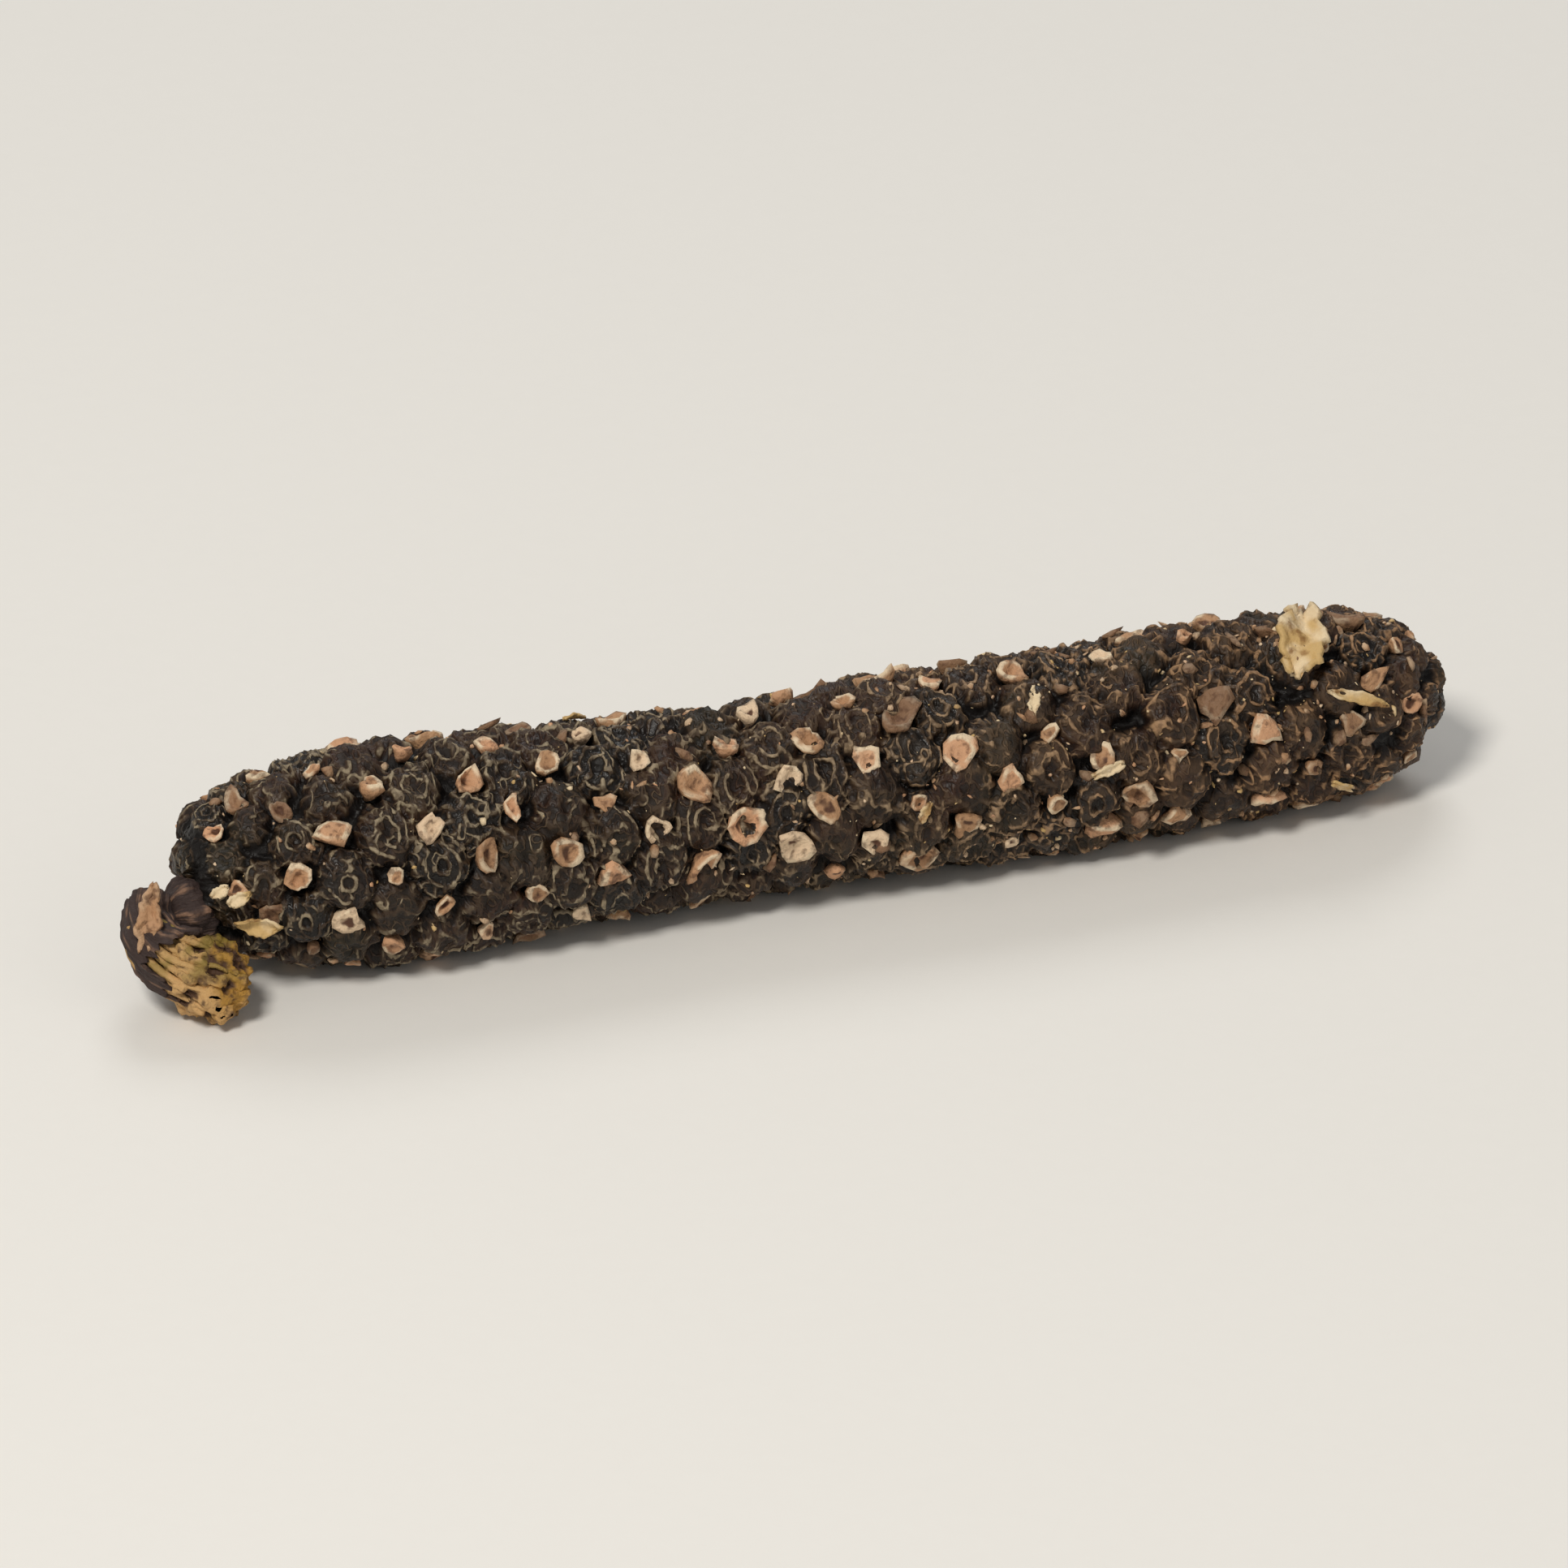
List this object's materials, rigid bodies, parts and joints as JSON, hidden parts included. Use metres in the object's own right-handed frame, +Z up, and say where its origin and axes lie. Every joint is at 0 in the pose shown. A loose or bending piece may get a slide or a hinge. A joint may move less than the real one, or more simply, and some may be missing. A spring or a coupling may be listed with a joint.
{
  "type": "dried long pepper",
  "caption": "Dried Javanese long pepper: a slim dark spike of tiny berries grown together, with small tan bracts in the gaps and a torn stub of stalk at its thick end.",
  "frame": {"origin": "middle of the box that the pepper fills, on the plane it lies on", "axes": "+X along the spike from its stalk end to its tip, +Z up from the plane it lies on"},
  "size_m": [0.03, 0.0052, 0.0047],
  "materials": {
    "spike": "dry wrinkled fruit skin, dark brown to black with tan bracts, satin on the berry tops",
    "stalk": "dry fibrous stalk, brown outside and ochre where it is torn, matte"
  },
  "bodies": {
    "root": {"spike": "spike", "stalk": "stalk"}
  },
  "joints": []
}
